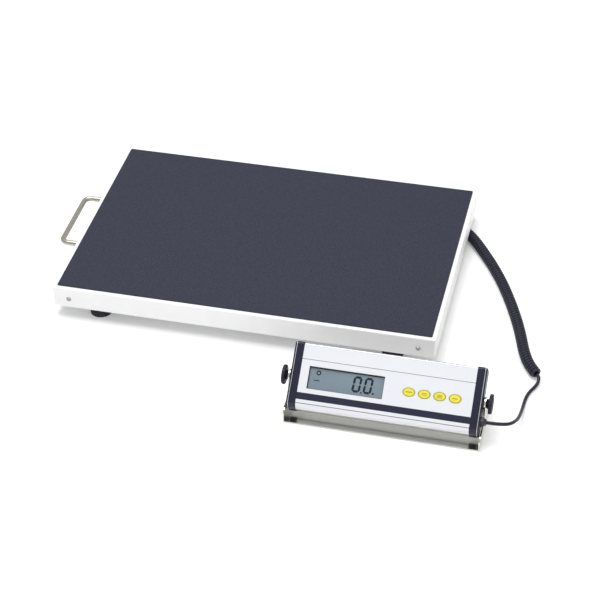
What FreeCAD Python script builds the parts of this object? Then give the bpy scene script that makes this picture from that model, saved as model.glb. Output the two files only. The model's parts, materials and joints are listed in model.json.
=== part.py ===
import FreeCAD, Part
import math
import os
import re

from FreeCAD import Placement, Rotation, Vector

# Animal weighing scale: a low platform on four load cells, a tilting indicator in a bracket, and a curly cord.
# Millimetres, +Z up, -Y is the front. The layout is worked out about the platform's centre, with the floor at 0,
# and spot() moves it so that the origin is under the middle of the whole scale.

os.makedirs("parts", exist_ok=True)
doc = FreeCAD.newDocument("AnimalScale")

# The driving dimensions: alias, value, meaning.
driving = [
    ("deckLength", 600, "platform, left to right"),
    ("deckWidth", 400, "platform, front to back"),
    ("deckHeight", 26, "load cells' top to the top of the cover"),
    ("skirtHeight", 34, "height of the cover's folded sides"),
    ("sheetWall", 2, "cover sheet thickness"),
    ("coverCorner", 4, "cover's upright corner radius"),
    ("foldRadius", 1.6, "radius along the cover's top edges"),
    ("matRim", 6.5, "width of bare cover round the mat"),
    ("matThickness", 1.5, "rubber mat"),
    ("matCorner", 2, "mat's corner radius"),
    ("tubeWidth", 20, "outer and end frame tubes, across"),
    ("tubeHeight", 22, "all frame tubes, up"),
    ("tubeWall", 1.5, "frame tube wall"),
    ("midTubeWidth", 24, "inner frame tubes, across"),
    ("midTubePlace", 123, "inner tube centre from the platform's end"),
    ("screwInset", 26, "cover screw from the platform's end"),
    ("screwLevel", 19, "cover screw below the top of the cover"),
    ("screwRadius", 2.5, "cover screw shank"),
    ("screwHeadRadius", 3.9, "cover screw head"),
    ("screwHeadHeight", 1.8, "cover screw head"),
    ("screwLength", 14, "cover screw under the head"),
    ("fastenerGap", 0.1, "radial room round every screw and bolt"),
    ("footInset", 68, "foot centre from the platform's end"),
    ("footSetback", 26, "foot centre from the platform's front or back"),
    ("footRadius", 17, "rubber foot"),
    ("footHeight", 10, "rubber foot"),
    ("footRibRadius", 1.3, "grooves round the rubber foot"),
    ("studRadius", 4.9, "levelling stud"),
    ("studGap", 0.2, "radial room round the levelling stud"),
    ("lockNutHeight", 3, "lock nut on the stud"),
    ("lockNutRadius", 9.5, "lock nut, centre to corner"),
    ("cellLength", 80, "load cell"),
    ("cellWidth", 22, "load cell"),
    ("cellHeight", 15, "load cell"),
    ("cellLevel", 13.5, "floor to the load cell's underside"),
    ("cellBore", 4, "radius of the bending holes through the load cell"),
    ("cellBoltRadius", 3, "load cell bolt"),
    ("cellBoltPitch", 14, "between a load cell's two bolts"),
    ("handleRodRadius", 4.4, "handle rod"),
    ("handleSpan", 125, "handle legs, centre to centre"),
    ("handleReach", 37.4, "handle, beyond the platform's side"),
    ("handleLevel", 17, "handle rod below the top of the cover"),
    ("handleBend", 11, "handle bend, on the rod's centreline"),
    ("handleNutHeight", 6, "nuts that hold the handle"),
    ("junctionLength", 40, "junction box, left to right"),
    ("junctionWidth", 60, "junction box, front to back"),
    ("junctionHeight", 21, "junction box"),
    ("junctionWall", 2, "junction box wall"),
    ("junctionPlaceX", 88, "junction box centre from the platform's right end"),
    ("junctionPlaceY", 66, "junction box centre from the platform's back"),
    ("glandRadius", 8, "cord gland's nut, centre to corner"),
    ("glandNutLength", 4.5, "cord gland's nut"),
    ("glandLength", 8.5, "cord gland, nut and cap"),
    ("glandTipRadius", 3.9, "cord gland at its mouth"),
    ("leadRadius", 2, "load cell leads"),
    ("cordRadius", 2.6, "cord to the indicator"),
    ("coilRadius", 8.9, "outside of the curly cord's coil"),
    ("floorGap", 0.2, "between the straight cord and the floor"),
    ("indicatorPlaceX", 249.3, "indicator's middle from the platform's middle"),
    ("pivotPlaceY", -319.4, "tilt axis from the platform's middle"),
    ("pivotHeight", 52, "tilt axis above the floor"),
    ("tilt", 41, "face from the horizontal, in degrees"),
    ("housingLength", 252.6, "housing extrusion between the end caps"),
    ("faceTop", 48.8, "tilt axis to the housing's top"),
    ("faceOut", 13.4, "tilt axis to the housing's face"),
    ("backOut", 15, "tilt axis to the housing's back"),
    ("noseDown", 48.5, "tilt axis to the rounded nose"),
    ("noseStart", 40.5, "tilt axis to where the nose curve leaves the face"),
    ("noseLevel", 3, "end of the nose curve, behind the tilt axis"),
    ("edgeRadius", 3, "housing corners"),
    ("housingWall", 2, "housing wall"),
    ("labelThickness", 0.6, "face label"),
    ("labelDown", 39.4, "tilt axis to the label's lower edge"),
    ("capBand", 11.2, "end cap's raised band"),
    ("capStep", 2.9, "end cap's outer step"),
    ("capProud", 1, "end cap's band above the housing"),
    ("capSink", 2.2, "end cap's step below its band"),
    ("capWall", 3, "end cap wall"),
    ("capFloor", 7, "end cap thickness at its outer end"),
    ("capScrewRadius", 1.8, "end cap screws"),
    ("windowLength", 110.8, "display window"),
    ("windowWidth", 33.2, "display window"),
    ("windowPlaceX", -58.5, "window centre from the indicator's middle"),
    ("windowPlaceY", -1, "window centre above the tilt axis"),
    ("lensThickness", 0.8, "clear window"),
    ("bezelThickness", 1, "dark frame round the display"),
    ("displayThickness", 4, "display glass"),
    ("displayBorder", 5, "display beyond its window, each way"),
    ("keyLength", 18.2, "oval key"),
    ("keyWidth", 13.1, "oval key"),
    ("keyPitch", 22.3, "between keys"),
    ("keyFirst", 33.9, "first key from the indicator's middle"),
    ("keyPlaceY", -1.7, "key centres above the tilt axis"),
    ("keyProud", 0.5, "key above the label"),
    ("keyGap", 0.25, "room round a key"),
    ("keyLip", 1.5, "key's hidden rim"),
    ("keyTravel", 0.8, "key travel"),
    ("boardOut", 4.6, "tilt axis to the circuit board's front"),
    ("boardThickness", 1.6, "circuit boards"),
    ("boardLength", 236, "main circuit board"),
    ("boardWidth", 74, "main circuit board"),
    ("standoffRadius", 3, "circuit board standoffs"),
    ("cellBatteryRadius", 7.1, "battery cell"),
    ("cellBatteryLength", 50, "battery cell"),
    ("bracketWall", 2.2, "bracket sheet"),
    ("earGap", 1.6, "between an end cap and an ear"),
    ("earFront", 45.6, "tilt axis to the bracket's front edge"),
    ("earBack", 48, "tilt axis to the bracket's back edge"),
    ("earFlank", 22, "height of the ears' low part"),
    ("earCorner", 8, "radius of the low part's corners"),
    ("earArm", 9.5, "half width of the ears' arm, and its top radius"),
    ("earFillet", 6, "radius where the arm meets the low part"),
    ("wallHoleX", 200, "bracket holes, left to right"),
    ("wallHoleY", 38, "bracket holes, front to back"),
    ("wallHoleRadius", 2.6, "bracket holes"),
    ("wallHolePlace", 17, "bracket hole pattern's centre behind the tilt axis"),
    ("studKnobRadius", 3, "knob studs"),
    ("knobRadius", 14.8, "knob over its lobes"),
    ("knobThickness", 5.5, "knob disc"),
    ("knobHub", 4.1, "knob hub, between ear and disc"),
    ("insertRadius", 5, "brass inserts in the end caps"),
    ("glandPlaceY", -27.5, "gland on the right end cap, below the tilt axis"),
    ("glandPlaceZ", 3, "gland on the right end cap, in front of the tilt axis"),
]
sizes = doc.addObject("Spreadsheet::Sheet", "Sizes")
for row, (alias, value, meaning) in enumerate(driving, 1):
    sizes.set(f"A{row}", meaning)
    sizes.set(f"B{row}", str(value))
    sizes.setAlias(f"B{row}", alias)
doc.recompute()
aliases = {alias for alias, value, meaning in driving}
nodes = []

# Places that several pieces share.
coverTop = sizes.cellLevel + sizes.cellHeight + sizes.deckHeight
underCover = coverTop - sizes.sheetWall
tubeLevel = underCover - sizes.tubeHeight
frameY = sizes.deckWidth / 2 - sizes.sheetWall
frameX = sizes.deckLength / 2 - sizes.sheetWall
footX = sizes.deckLength / 2 - sizes.footInset
midTubeX = sizes.deckLength / 2 - sizes.midTubePlace
screwZ = coverTop - sizes.screwLevel
handleZ = coverTop - sizes.handleLevel
footY = sizes.deckWidth / 2 - sizes.footSetback
spacerHeight = tubeLevel - sizes.cellLevel - sizes.cellHeight
capX = sizes.housingLength / 2
bandX = capX + sizes.capBand
stepX = bandX + sizes.capStep
earX = stepX + sizes.earGap
earOuter = earX + sizes.bracketWall
knobTip = earOuter + sizes.knobHub + sizes.knobThickness
innerFace = sizes.faceOut - sizes.housingWall
innerBack = -sizes.backOut + sizes.housingWall
boardBack = sizes.boardOut - sizes.boardThickness
middleX = (sizes.indicatorPlaceX + knobTip - sizes.deckLength / 2 - sizes.handleReach) / 2
middleY = (sizes.pivotPlaceY - sizes.earFront + sizes.deckWidth / 2 + sizes.screwHeadHeight) / 2

towardRight = Rotation(Vector(0, 1, 0), 90)
towardLeft = Rotation(Vector(0, 1, 0), -90)
towardBack = Rotation(Vector(1, 0, 0), -90)
towardFront = Rotation(Vector(1, 0, 0), 90)
upright = Rotation()


def spot(x, y, z):
    """A place in the layout, as a place from the scale's own origin."""
    return Vector(x - middleX, y - middleY, z)


def at(x, y, z, turn=upright):
    return Placement(spot(x, y, z), turn)


pivot = spot(sizes.indicatorPlaceX, sizes.pivotPlaceY, sizes.pivotHeight)
headPlace = Placement(pivot, Rotation(Vector(1, 0, 0), sizes.tilt))


def onHead(x, up, out, turn=upright):
    """A place on the tilted indicator: along it, up its face, and out of its face, from the tilt axis."""
    return headPlace.multiply(Placement(Vector(x, up, out), turn))


def linked(text):
    """The same expression with each alias read from the sheet."""
    return re.sub(r"[A-Za-z]\w*", lambda word: f"Sizes.{word[0]}" if word[0] in aliases else word[0], str(text))


def bind(piece, **expressions):
    for name, text in expressions.items():
        piece.setExpression(name, linked(text))
    return piece


def box(name, length, width, height, place):
    piece = bind(doc.addObject("Part::Box", name), Length=length, Width=width, Height=height)
    piece.Placement = place
    return piece


def cylinder(name, radius, height, place):
    piece = bind(doc.addObject("Part::Cylinder", name), Radius=radius, Height=height)
    piece.Placement = place
    return piece


def cone(name, first, second, height, place):
    piece = bind(doc.addObject("Part::Cone", name), Radius1=first, Radius2=second, Height=height)
    piece.Placement = place
    return piece


def hexagon(name, corner, height, place):
    piece = bind(doc.addObject("Part::Prism", name), Circumradius=corner, Height=height)
    piece.Polygon = 6
    piece.Placement = place
    return piece


def group(name, pieces):
    joined = doc.addObject("Part::Compound", name)
    joined.Links = pieces
    return joined


def cut(name, piece, tools):
    left = doc.addObject("Part::Cut", name)
    left.Base = piece
    left.Tool = tools[0] if len(tools) == 1 else group(f"{name}Tools", tools)
    return left


def fuse(name, pieces):
    joined = doc.addObject("Part::MultiFuse", name)
    joined.Shapes = pieces
    return joined


def gland(name, place):
    """A cord gland: a hexagonal nut, then a cap that tapers to the cord."""
    nut = hexagon(f"{name}Nut", "glandRadius", "glandNutLength", place)
    tip = place.multiply(Placement(Vector(0, 0, sizes.glandNutLength), Rotation()))
    cap = cone(f"{name}Cap", "glandRadius * 0.78", "glandTipRadius", "glandLength - glandNutLength", tip)
    return fuse(name, [nut, cap])


def node(piece, label):
    """Marks a finished piece, whose label names its file."""
    piece.Label = label
    nodes.append(piece)
    return piece


def newBody(name, place):
    body = doc.addObject("PartDesign::Body", name)
    body.Placement = place
    return body


def sketch(body, name, role, edges, offset=0.0):
    """A closed outline on one of the body's own planes, moved along the plane's normal."""
    outline = body.newObject("Sketcher::SketchObject", name)
    plane = next(feature for feature in body.Origin.OriginFeatures if feature.Role == role)
    outline.AttachmentSupport = (plane, [""])
    outline.MapMode = "FlatFace"
    outline.AttachmentOffset = Placement(Vector(0, 0, offset), Rotation())
    for edge in edges:
        outline.addGeometry(edge, False)
    return outline


def pad(body, outline, length):
    feature = body.newObject("PartDesign::Pad", f"{outline.Name}Pad")
    feature.Profile = outline
    bind(feature, Length=length)
    return feature


def pocketUp(body, outline, depth):
    """A pocket along the outline's normal."""
    feature = body.newObject("PartDesign::Pocket", f"{outline.Name}Pocket")
    feature.Profile = outline
    feature.Reversed = True
    bind(feature, Length=depth)
    return feature


def filletWhere(body, name, radius, wanted):
    """Rounds the edges of the body's last feature that wanted() picks by their centres."""
    doc.recompute()
    last = body.Tip
    picked = [f"Edge{i}" for i, edge in enumerate(last.Shape.Edges, 1) if wanted(edge)]
    feature = body.newObject("PartDesign::Fillet", name)
    feature.Base = (last, picked)
    bind(feature, Radius=radius)
    return feature


def line(a, b):
    return Part.LineSegment(Vector(*a, 0), Vector(*b, 0))


def corner(a, middle, b):
    return Part.Arc(Vector(*a, 0), Vector(*middle, 0), Vector(*b, 0))


def roundCorner(centre, radius, first, last):
    """The arc about a centre from one angle to another, in degrees."""
    points = []
    for angle in (first, (first + last) / 2, last):
        turn = math.radians(angle)
        points.append((centre[0] + radius * math.cos(turn), centre[1] + radius * math.sin(turn)))
    return corner(*points)


def roundedRectangle(length, width, radius):
    """A rectangle about the plane's origin with rounded corners."""
    x, y = length / 2, width / 2
    return [
        line((-x + radius, -y), (x - radius, -y)),
        roundCorner((x - radius, -y + radius), radius, -90, 0),
        line((x, -y + radius), (x, y - radius)),
        roundCorner((x - radius, y - radius), radius, 0, 90),
        line((x - radius, y), (-x + radius, y)),
        roundCorner((-x + radius, y - radius), radius, 90, 180),
        line((-x, y - radius), (-x, -y + radius)),
        roundCorner((-x + radius, -y + radius), radius, 180, 270),
    ]


def bentTube(name, points, radius, share=0.45, bend=None):
    """A round bar along straight runs joined by tangent arcs. An arc's radius is the given bend, or the given
    share of the shorter run beside it divided by the tangent of half the turn."""
    edges, radii, start = [], [], points[0]
    for before, here, after in zip(points, points[1:], points[2:]):
        back, ahead = (before - here).normalize(), (after - here).normalize()
        half = (math.pi - back.getAngle(ahead)) / 2
        run = min((before - here).Length, (after - here).Length)
        reach = bend * math.tan(half) if bend else share * run
        radii.append(reach / math.tan(half))
        first, last = here + back * reach, here + ahead * reach
        inward = (back + ahead).normalize()
        middle = here + inward * (radii[-1] / math.cos(half) - radii[-1])
        edges += [Part.LineSegment(start, first), Part.Arc(first, middle, last)]
        start = last
    edges.append(Part.LineSegment(start, points[-1]))
    path = Part.Wire([edge.toShape() for edge in edges])
    section = Part.Wire(Part.Circle(points[0], points[1] - points[0], radius).toShape())
    tube = doc.addObject("Part::Feature", name)
    tube.Shape = path.makePipeShell([section], True, True)
    expected = math.pi * radius**2 * path.Length
    if abs(tube.Shape.Volume - expected) > 0.01 * expected:
        raise ValueError(f"{name}: volume {tube.Shape.Volume:.0f}, and section times length is {expected:.0f}")
    print(f"{name}: {path.Length:.1f} long, radii {[round(r, 1) for r in radii]}")
    return tube


# ---- platform ----

cover = newBody("CoverShell", at(0, 0, coverTop - sizes.skirtHeight))
pad(cover, sketch(cover, "CoverOutside", "XY_Plane",
                  roundedRectangle(sizes.deckLength, sizes.deckWidth, sizes.coverCorner)), "skirtHeight")
filletWhere(cover, "CoverFold", "foldRadius",
            lambda edge: abs(edge.CenterOfMass.z - sizes.skirtHeight) < 0.01)
insideLength = sizes.deckLength - 2 * sizes.sheetWall
insideWidth = sizes.deckWidth - 2 * sizes.sheetWall
pocketUp(cover, sketch(cover, "CoverInside", "XY_Plane",
                       roundedRectangle(insideLength, insideWidth, sizes.coverCorner - sizes.sheetWall)),
         "skirtHeight - sheetWall")

mat = newBody("Mat", at(0, 0, coverTop))
matOutline = roundedRectangle(sizes.deckLength - 2 * sizes.matRim, sizes.deckWidth - 2 * sizes.matRim,
                              sizes.matCorner)
pad(mat, sketch(mat, "MatOutside", "XY_Plane", matOutline), "matThickness")
node(mat, "deck_mat")

screwPlaces = [(sx * (sizes.deckLength / 2 - sizes.screwInset), sy) for sy in (-1, 1) for sx in (-1, 1)]
screws, screwHoles = [], []
for i, (x, side) in enumerate(screwPlaces):
    turn = towardBack if side < 0 else towardFront
    outside = side * sizes.deckWidth / 2
    head = cone(f"ScrewHead{i}", "screwHeadRadius * 0.72", "screwHeadRadius", "screwHeadHeight",
                at(x, outside + side * sizes.screwHeadHeight, screwZ, turn))
    shank = cylinder(f"ScrewShank{i}", "screwRadius", "screwLength", at(x, outside, screwZ, turn))
    whole = fuse(f"ScrewWhole{i}", [head, shank])
    slots = []
    for j, angle in enumerate((45, -45)):
        slot = box(f"ScrewSlot{i}{j}", "screwHeadRadius * 1.1", "screwHeadRadius * 0.24", "screwHeadHeight * 0.6",
                   at(x, outside + side * sizes.screwHeadHeight, screwZ, turn))
        slot.Placement = slot.Placement.multiply(Placement(Vector(), Rotation(Vector(0, 0, 1), angle)))
        half = Vector(-sizes.screwHeadRadius * 0.55, -sizes.screwHeadRadius * 0.12, 0)
        slot.Placement = slot.Placement.multiply(Placement(half, Rotation()))
        slots.append(slot)
    screws.append(cut(f"Screw{i}", whole, slots))
    screwHoles.append(cylinder(f"ScrewHole{i}", "screwRadius + fastenerGap", "screwLength + 2",
                               at(x, outside + side, screwZ, turn)))
node(group("ScrewSet", screws), "cover_screws")

handleLegs = [-sizes.handleSpan / 2, sizes.handleSpan / 2]
handleHoles = []
for i, y in enumerate(handleLegs):
    handleHoles.append(cylinder(f"HandleHole{i}", "handleRodRadius + fastenerGap", "sheetWall + tubeWidth + 2",
                                at(-sizes.deckLength / 2 - 1, y, handleZ, towardRight)))
node(cut("Cover", cover, screwHoles + handleHoles), "deck_cover")


def squareTube(name, length, width, place, alongX):
    """A rectangular frame tube: its lower front left corner is at the place."""
    if alongX:
        whole = box(f"{name}Outside", length, width, "tubeHeight", place)
        hollow = box(f"{name}Inside", f"{length} + 2", f"{width} - 2 * tubeWall", "tubeHeight - 2 * tubeWall",
                     place.multiply(Placement(Vector(-1, sizes.tubeWall, sizes.tubeWall), Rotation())))
    else:
        whole = box(f"{name}Outside", width, length, "tubeHeight", place)
        hollow = box(f"{name}Inside", f"{width} - 2 * tubeWall", f"{length} + 2", "tubeHeight - 2 * tubeWall",
                     place.multiply(Placement(Vector(sizes.tubeWall, -1, sizes.tubeWall), Rotation())))
    return cut(name, whole, [hollow])


longTube = "deckLength - 2 * sheetWall - 2 * coverCorner"
shortTube = "deckWidth - 2 * sheetWall - 2 * tubeWidth"
longStart = -frameX + sizes.coverCorner
for name, y, holes in (("front", -frameY, screwHoles[:2]), ("rear", frameY - sizes.tubeWidth, screwHoles[2:])):
    tube = squareTube(f"LongTube{name}", longTube, "tubeWidth", at(longStart, y, tubeLevel), True)
    node(cut(f"FrameTube{name}", tube, holes), f"frame_tube_{name}")

cellSigns = [("front_left", -1, -1), ("front_right", 1, -1), ("rear_left", -1, 1), ("rear_right", 1, 1)]
boltX = [midTubeX - sizes.cellBoltPitch / 2, midTubeX + sizes.cellBoltPitch / 2]
bolts, boltHoles, spacers, lockNuts = [], {}, [], []
boltLength = "cellHeight + 14"
for name, sx, sy in cellSigns:
    boltHoles[name] = []
    for i, x in enumerate(boltX):
        head = hexagon(f"BoltHead{name}{i}", 5.8, 3, at(sx * x, sy * footY, sizes.cellLevel - 3))
        shank = cylinder(f"BoltShank{name}{i}", "cellBoltRadius", boltLength,
                         at(sx * x, sy * footY, sizes.cellLevel))
        bolts.append(fuse(f"Bolt{name}{i}", [head, shank]))
        boltHoles[name].append(cylinder(f"BoltHole{name}{i}", "cellBoltRadius + fastenerGap", "cellHeight + 40",
                                        at(sx * x, sy * footY, sizes.cellLevel - 1)))
    outer = sx * (footX + 13)
    start = min(outer, outer - sx * sizes.cellLength)
    blank = box(f"CellBlank{name}", "cellLength", "cellWidth", "cellHeight",
                at(start, sy * footY - sizes.cellWidth / 2, sizes.cellLevel))
    studHole = cylinder(f"CellStudHole{name}", "studRadius + studGap", "cellHeight + lockNutHeight + 2",
                        at(sx * footX, sy * footY, sizes.cellLevel - sizes.lockNutHeight - 1))
    bendX = sx * (footX + midTubeX) / 2
    bend = []
    for i, shift in enumerate((-5, 5)):
        bend.append(cylinder(f"CellBore{name}{i}", "cellBore", "cellWidth + 2",
                             at(bendX + shift, sy * footY - sizes.cellWidth / 2 - 1,
                                sizes.cellLevel + sizes.cellHeight / 2, towardBack)))
    bend.append(box(f"CellSlot{name}", 10, "cellWidth + 2", 3,
                    at(bendX - 5, sy * footY - sizes.cellWidth / 2 - 1,
                       sizes.cellLevel + sizes.cellHeight / 2 - 1.5)))
    window = fuse(f"CellWindow{name}", bend)
    node(cut(f"Cell{name}", blank, [studHole, window] + boltHoles[name]), f"load_cell_{name}")
    plate = box(f"SpacerPlate{name}", "midTubeWidth", "cellWidth", spacerHeight,
                at(sx * midTubeX - sizes.midTubeWidth / 2, sy * footY - sizes.cellWidth / 2,
                   sizes.cellLevel + sizes.cellHeight))
    spacers.append(cut(f"Spacer{name}", plate, boltHoles[name]))

    foot = cylinder(f"FootTread{name}", "footRadius", "footHeight * 0.6", at(sx * footX, sy * footY, 0))
    top = cone(f"FootTop{name}", "footRadius - 1.5", "footRadius - 5", "footHeight * 0.4",
               at(sx * footX, sy * footY, sizes.footHeight * 0.6))
    ribs = []
    ribCount = 20
    for i in range(ribCount):
        turn = 2 * math.pi * i / ribCount
        ribs.append(cylinder(f"FootRib{name}{i}", "footRibRadius", "footHeight * 0.6 - 1",
                             at(sx * footX + sizes.footRadius * math.cos(turn),
                                sy * footY + sizes.footRadius * math.sin(turn), 1)))
    socket = cylinder(f"FootSocket{name}", "studRadius", "footHeight",
                      at(sx * footX, sy * footY, sizes.footHeight * 0.4))
    node(cut(f"Foot{name}", fuse(f"FootWhole{name}", [foot, top]), ribs + [socket]), f"foot_pad_{name}")
    studTop = sizes.cellLevel + sizes.cellHeight
    node(cylinder(f"Stud{name}", "studRadius", studTop - sizes.footHeight * 0.4,
                  at(sx * footX, sy * footY, sizes.footHeight * 0.4)), f"foot_stud_{name}")
    nut = hexagon(f"LockNutWhole{name}", "lockNutRadius", "lockNutHeight",
                  at(sx * footX, sy * footY, sizes.cellLevel - sizes.lockNutHeight))
    lockNuts.append(cut(f"LockNut{name}", nut, [studHole]))
node(group("BoltSet", bolts), "cell_bolts")
node(group("SpacerSet", spacers), "cell_spacers")
node(group("LockNutSet", lockNuts), "foot_lock_nuts")

for side, sx in (("left", -1), ("right", 1)):
    endTube = squareTube(f"EndTube{side}", shortTube, "tubeWidth",
                         at(min(sx * frameX, sx * (frameX - sizes.tubeWidth)), -frameY + sizes.tubeWidth, tubeLevel),
                         False)
    if side == "left":
        endTube = cut("EndTubeBored", endTube, handleHoles)
    node(endTube, f"end_tube_{side}")
    midTube = squareTube(f"MidTube{side}", shortTube, "midTubeWidth",
                         at(sx * midTubeX - sizes.midTubeWidth / 2, -frameY + sizes.tubeWidth, tubeLevel),
                         False)
    bored = cut(f"MidTubeBored{side}", midTube, boltHoles[f"front_{side}"] + boltHoles[f"rear_{side}"])
    node(bored, f"mid_tube_{side}")

handleOuter = -sizes.deckLength / 2 - sizes.handleReach + sizes.handleRodRadius
handleInner = -frameX + sizes.tubeWidth + 10
handlePoints = []
for x, y in ((handleInner, handleLegs[0]), (handleOuter, handleLegs[0]),
             (handleOuter, handleLegs[1]), (handleInner, handleLegs[1])):
    handlePoints.append(spot(x, y, handleZ))
node(bentTube("HandleRod", handlePoints, sizes.handleRodRadius, bend=sizes.handleBend), "handle_rod")
handleNuts = []
for i, y in enumerate(handleLegs):
    nutPlace = at(-frameX + sizes.tubeWidth, y, handleZ, towardRight)
    nut = hexagon(f"HandleNutWhole{i}", "handleRodRadius * 1.9", "handleNutHeight", nutPlace)
    bore = cylinder(f"HandleNutBore{i}", "handleRodRadius + fastenerGap", "handleNutHeight", nutPlace)
    handleNuts.append(cut(f"HandleNut{i}", nut, [bore]))
node(group("HandleNutSet", handleNuts), "handle_nuts")

# ---- junction box and the leads from the load cells ----

junctionX = sizes.deckLength / 2 - sizes.junctionPlaceX - sizes.junctionLength / 2
junctionY = sizes.deckWidth / 2 - sizes.junctionPlaceY - sizes.junctionWidth / 2
junctionFloor = underCover - sizes.junctionHeight
junctionShell = box("JunctionOutside", "junctionLength", "junctionWidth", "junctionHeight - junctionWall",
                    at(junctionX, junctionY, junctionFloor + sizes.junctionWall))
junctionHollow = box("JunctionInside", "junctionLength - 2 * junctionWall", "junctionWidth - 2 * junctionWall",
                     "junctionHeight - 2 * junctionWall",
                     at(junctionX + sizes.junctionWall, junctionY + sizes.junctionWall, junctionFloor + sizes.junctionWall))
node(cut("JunctionBody", junctionShell, [junctionHollow]), "junction_box")
node(box("JunctionLid", "junctionLength", "junctionWidth", "junctionWall", at(junctionX, junctionY, junctionFloor)),
     "junction_lid")
node(box("JunctionBoard", "junctionLength - 2 * junctionWall - 1", "junctionWidth - 2 * junctionWall - 1",
         "boardThickness",
         at(junctionX + sizes.junctionWall + 0.5, junctionY + sizes.junctionWall + 0.5, junctionFloor + 9)),
     "junction_board")
exitY = junctionY + sizes.junctionWidth / 2 + 20
exitZ = junctionFloor + 10
node(gland("JunctionGland", at(junctionX + sizes.junctionLength, exitY, exitZ, towardRight)), "junction_gland")

leadZ = sizes.cellLevel + 9.5
lowLeadZ = leadZ - 2.5 * sizes.leadRadius
leadX = midTubeX
leadStart = footY - sizes.cellWidth / 2
boxFront = junctionY
entry = [junctionX + 15, junctionX + 7, junctionX + 23, junctionX + 31]
leadRoutes = [
    [(leadX, -leadStart, leadZ), (leadX, boxFront - 94, leadZ), (entry[0], boxFront - 68, leadZ),
     (entry[0], boxFront - 26, junctionFloor + 6.5), (entry[0], boxFront, junctionFloor + 6.5)],
    [(leadX, leadStart, leadZ), (leadX, boxFront - 17, leadZ), (leadX + 4, boxFront - 48, leadZ),
     (entry[1], boxFront - 48, leadZ), (entry[1], boxFront - 20, junctionFloor + 6.5),
     (entry[1], boxFront, junctionFloor + 6.5)],
    [(-leadX, -leadStart, lowLeadZ), (-leadX, boxFront - 128, lowLeadZ), (junctionX + 8, boxFront - 128, lowLeadZ),
     (entry[2], boxFront - 82, lowLeadZ), (entry[2], boxFront - 30, junctionFloor + 8.5),
     (entry[2], boxFront, junctionFloor + 8.5)],
    [(-leadX, leadStart, lowLeadZ), (-leadX, boxFront - 80, lowLeadZ), (junctionX + 13, boxFront - 80, lowLeadZ),
     (entry[3], boxFront - 52, leadZ - 1), (entry[3], boxFront - 24, junctionFloor + 10.5),
     (entry[3], boxFront, junctionFloor + 10.5)],
]
leads = []
for i, route in enumerate(leadRoutes):
    leads.append(bentTube(f"Lead{i}", [spot(*point) for point in route], sizes.leadRadius, bend=9))
node(group("LeadSet", leads), "cell_leads")

# ---- indicator ----


def profile(grow, drop=0.0):
    """The indicator's cross-section, up the face and out of it, grown all round and lowered at the top."""
    top = sizes.faceTop + grow - drop
    front = sizes.faceOut + grow
    back = -sizes.backOut - grow
    low = -sizes.noseDown - grow
    radius = sizes.edgeRadius + grow / 2
    curveTop = (-sizes.noseStart, front)
    curveLow = (low, -sizes.noseLevel)
    rise = curveTop[0] - low
    depth = curveTop[1] - curveLow[1]
    bulge = (rise**2 + depth**2) / (2 * rise)
    centre = (low + bulge, curveLow[1])
    end = 180 - math.degrees(math.asin(depth / bulge))
    return [
        roundCorner((top - radius, front - radius), radius, 0, 90),
        line((top - radius, front), curveTop),
        roundCorner(centre, bulge, end, 180),
        line(curveLow, (low, back + radius)),
        roundCorner((low + radius, back + radius), radius, 180, 270),
        line((low + radius, back), (top - radius, back)),
        roundCorner((top - radius, back + radius), radius, 270, 360),
        line((top, back + radius), (top, front - radius)),
    ]


housing = newBody("HousingTube", headPlace)
pad(housing, sketch(housing, "HousingOutside", "YZ_Plane", profile(0), -capX), "housingLength")
pocketUp(housing, sketch(housing, "HousingInside", "YZ_Plane", profile(-sizes.housingWall), -capX), "housingLength")

bossPlaces = [(sizes.faceTop - 7, innerBack + 3.5), (-sizes.noseDown + 9, innerBack + 3.5)]
bosses, bossBores = [], []
for i, (up, out) in enumerate(bossPlaces):
    bosses.append(cylinder(f"Boss{i}", 4, "housingLength", onHead(-capX, up, out, towardRight)))
    bossBores.append(cylinder(f"BossBore{i}", "capScrewRadius + fastenerGap", "housingLength + 60",
                              onHead(-capX - 30, up, out, towardRight)))
keyPlaces = [sizes.keyFirst + sizes.keyPitch * i for i in range(4)]
windowHole = box("WindowHole", "windowLength", "windowWidth", 12,
                 onHead(sizes.windowPlaceX - sizes.windowLength / 2, sizes.windowPlaceY - sizes.windowWidth / 2,
                        innerFace - 1))


def oval(name, grow, low, high, x):
    """An upright oval block on the face, as long and wide as a key and that much larger all round."""
    body = newBody(name, onHead(x, sizes.keyPlaceY, low))
    edge = Part.Ellipse(Vector(), sizes.keyLength / 2 + grow, sizes.keyWidth / 2 + grow)
    pad(body, sketch(body, f"{name}Outline", "XY_Plane", [edge]), high - low)
    return body


labelOut = sizes.faceOut + sizes.labelThickness
keyHoles = [oval(f"KeyHole{i}", sizes.keyGap, innerFace - 1, labelOut + 1, x) for i, x in enumerate(keyPlaces)]
solidHousing = fuse("HousingBossed", [housing] + bosses)
node(cut("Housing", solidHousing, [windowHole] + keyHoles + bossBores), "housing")

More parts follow.
